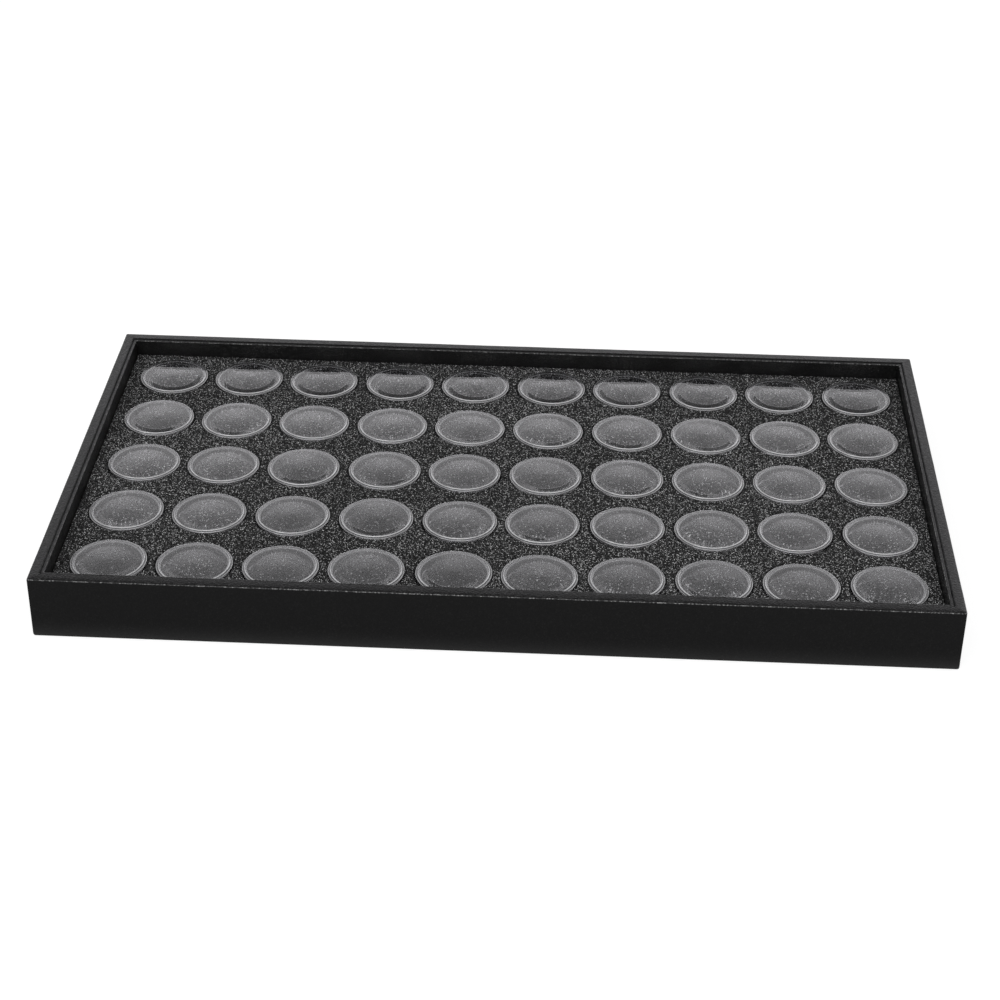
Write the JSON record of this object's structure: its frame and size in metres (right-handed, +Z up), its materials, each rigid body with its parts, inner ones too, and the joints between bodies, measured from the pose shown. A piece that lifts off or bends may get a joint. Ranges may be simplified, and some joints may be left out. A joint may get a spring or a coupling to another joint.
{
  "type": "gem jar display tray",
  "caption": "Shallow leatherette-covered display tray with a foam insert that holds rows of clear round lidded jars for loose stones.",
  "frame": {"origin": "middle of the tray's underside", "axes": "+Z up, +X along the long side to the right, the front wall faces -Y"},
  "size_m": [0.3746, 0.2096, 0.0282],
  "materials": {
    "leatherette": "black leatherette with a fine pebble grain, semi-matt, glossier on the rim",
    "underside": "thin black leatherette sheet, matt",
    "lining": "thin matt black card lining",
    "board": "raw fibreboard",
    "foam": "charcoal open-cell foam with shining cell walls",
    "pad_foam": "charcoal foam disc, fine cells",
    "clear_plastic": "clear moulded polystyrene, polished"
  },
  "bodies": {
    "tray": {"base_board": "board", "front_wall_board": "board", "rear_wall_board": "board", "left_wall_board": "board", "right_wall_board": "board", "wall_cover": "leatherette", "base_cover": "underside", "floor_lining": "lining", "front_liner": "leatherette", "rear_liner": "leatherette", "left_liner": "leatherette", "right_liner": "leatherette"},
    "insert": {"foam_insert": "foam"},
    "front_jar_01": {"front_cup_01": "clear_plastic", "front_pad_01": "pad_foam"},
    "front_lid_01": {"front_lid_01": "clear_plastic"},
    "front_jar_02": {"front_cup_02": "clear_plastic", "front_pad_02": "pad_foam"},
    "front_lid_02": {"front_lid_02": "clear_plastic"},
    "front_jar_03": {"front_cup_03": "clear_plastic", "front_pad_03": "pad_foam"},
    "front_lid_03": {"front_lid_03": "clear_plastic"},
    "front_jar_04": {"front_cup_04": "clear_plastic", "front_pad_04": "pad_foam"},
    "front_lid_04": {"front_lid_04": "clear_plastic"},
    "front_jar_05": {"front_cup_05": "clear_plastic", "front_pad_05": "pad_foam"},
    "front_lid_05": {"front_lid_05": "clear_plastic"},
    "front_jar_06": {"front_cup_06": "clear_plastic", "front_pad_06": "pad_foam"},
    "front_lid_06": {"front_lid_06": "clear_plastic"},
    "front_jar_07": {"front_cup_07": "clear_plastic", "front_pad_07": "pad_foam"},
    "front_lid_07": {"front_lid_07": "clear_plastic"},
    "front_jar_08": {"front_cup_08": "clear_plastic", "front_pad_08": "pad_foam"},
    "front_lid_08": {"front_lid_08": "clear_plastic"},
    "front_jar_09": {"front_cup_09": "clear_plastic", "front_pad_09": "pad_foam"},
    "front_lid_09": {"front_lid_09": "clear_plastic"},
    "front_jar_10": {"front_cup_10": "clear_plastic", "front_pad_10": "pad_foam"},
    "front_lid_10": {"front_lid_10": "clear_plastic"},
    "second_row_jars": {"second_row_cups": "clear_plastic", "second_row_pads": "pad_foam"},
    "second_row_lids": {"second_row_lids": "clear_plastic"},
    "third_row_jars": {"third_row_cups": "clear_plastic", "third_row_pads": "pad_foam"},
    "third_row_lids": {"third_row_lids": "clear_plastic"},
    "fourth_row_jars": {"fourth_row_cups": "clear_plastic", "fourth_row_pads": "pad_foam"},
    "fourth_row_lids": {"fourth_row_lids": "clear_plastic"},
    "rear_row_jars": {"rear_row_cups": "clear_plastic", "rear_row_pads": "pad_foam"},
    "rear_row_lids": {"rear_row_lids": "clear_plastic"}
  },
  "joints": [
    {"name": "insert_lift", "type": "slide", "parent": "tray", "child": "insert", "axis": [0, 0, 1], "range_m": [0, 0.045]},
    {"name": "front_jar_01_lift", "type": "slide", "parent": "tray", "child": "front_jar_01", "axis": [0, 0, 1], "range_m": [0, 0.045]},
    {"name": "front_lid_01_lift", "type": "slide", "parent": "front_jar_01", "child": "front_lid_01", "axis": [0, 0, 1], "range_m": [0, 0.025]},
    {"name": "front_jar_02_lift", "type": "slide", "parent": "tray", "child": "front_jar_02", "axis": [0, 0, 1], "range_m": [0, 0.045]},
    {"name": "front_lid_02_lift", "type": "slide", "parent": "front_jar_02", "child": "front_lid_02", "axis": [0, 0, 1], "range_m": [0, 0.025]},
    {"name": "front_jar_03_lift", "type": "slide", "parent": "tray", "child": "front_jar_03", "axis": [0, 0, 1], "range_m": [0, 0.045]},
    {"name": "front_lid_03_lift", "type": "slide", "parent": "front_jar_03", "child": "front_lid_03", "axis": [0, 0, 1], "range_m": [0, 0.025]},
    {"name": "front_jar_04_lift", "type": "slide", "parent": "tray", "child": "front_jar_04", "axis": [0, 0, 1], "range_m": [0, 0.045]},
    {"name": "front_lid_04_lift", "type": "slide", "parent": "front_jar_04", "child": "front_lid_04", "axis": [0, 0, 1], "range_m": [0, 0.025]},
    {"name": "front_jar_05_lift", "type": "slide", "parent": "tray", "child": "front_jar_05", "axis": [0, 0, 1], "range_m": [0, 0.045]},
    {"name": "front_lid_05_lift", "type": "slide", "parent": "front_jar_05", "child": "front_lid_05", "axis": [0, 0, 1], "range_m": [0, 0.025]},
    {"name": "front_jar_06_lift", "type": "slide", "parent": "tray", "child": "front_jar_06", "axis": [0, 0, 1], "range_m": [0, 0.045]},
    {"name": "front_lid_06_lift", "type": "slide", "parent": "front_jar_06", "child": "front_lid_06", "axis": [0, 0, 1], "range_m": [0, 0.025]},
    {"name": "front_jar_07_lift", "type": "slide", "parent": "tray", "child": "front_jar_07", "axis": [0, 0, 1], "range_m": [0, 0.045]},
    {"name": "front_lid_07_lift", "type": "slide", "parent": "front_jar_07", "child": "front_lid_07", "axis": [0, 0, 1], "range_m": [0, 0.025]},
    {"name": "front_jar_08_lift", "type": "slide", "parent": "tray", "child": "front_jar_08", "axis": [0, 0, 1], "range_m": [0, 0.045]},
    {"name": "front_lid_08_lift", "type": "slide", "parent": "front_jar_08", "child": "front_lid_08", "axis": [0, 0, 1], "range_m": [0, 0.025]},
    {"name": "front_jar_09_lift", "type": "slide", "parent": "tray", "child": "front_jar_09", "axis": [0, 0, 1], "range_m": [0, 0.045]},
    {"name": "front_lid_09_lift", "type": "slide", "parent": "front_jar_09", "child": "front_lid_09", "axis": [0, 0, 1], "range_m": [0, 0.025]},
    {"name": "front_jar_10_lift", "type": "slide", "parent": "tray", "child": "front_jar_10", "axis": [0, 0, 1], "range_m": [0, 0.045]},
    {"name": "front_lid_10_lift", "type": "slide", "parent": "front_jar_10", "child": "front_lid_10", "axis": [0, 0, 1], "range_m": [0, 0.025]},
    {"name": "second_row_jars_lift", "type": "slide", "parent": "tray", "child": "second_row_jars", "axis": [0, 0, 1], "range_m": [0, 0.045]},
    {"name": "second_row_lids_lift", "type": "slide", "parent": "second_row_jars", "child": "second_row_lids", "axis": [0, 0, 1], "range_m": [0, 0.025]},
    {"name": "third_row_jars_lift", "type": "slide", "parent": "tray", "child": "third_row_jars", "axis": [0, 0, 1], "range_m": [0, 0.045]},
    {"name": "third_row_lids_lift", "type": "slide", "parent": "third_row_jars", "child": "third_row_lids", "axis": [0, 0, 1], "range_m": [0, 0.025]},
    {"name": "fourth_row_jars_lift", "type": "slide", "parent": "tray", "child": "fourth_row_jars", "axis": [0, 0, 1], "range_m": [0, 0.045]},
    {"name": "fourth_row_lids_lift", "type": "slide", "parent": "fourth_row_jars", "child": "fourth_row_lids", "axis": [0, 0, 1], "range_m": [0, 0.025]},
    {"name": "rear_row_jars_lift", "type": "slide", "parent": "tray", "child": "rear_row_jars", "axis": [0, 0, 1], "range_m": [0, 0.045]},
    {"name": "rear_row_lids_lift", "type": "slide", "parent": "rear_row_jars", "child": "rear_row_lids", "axis": [0, 0, 1], "range_m": [0, 0.025]}
  ]
}
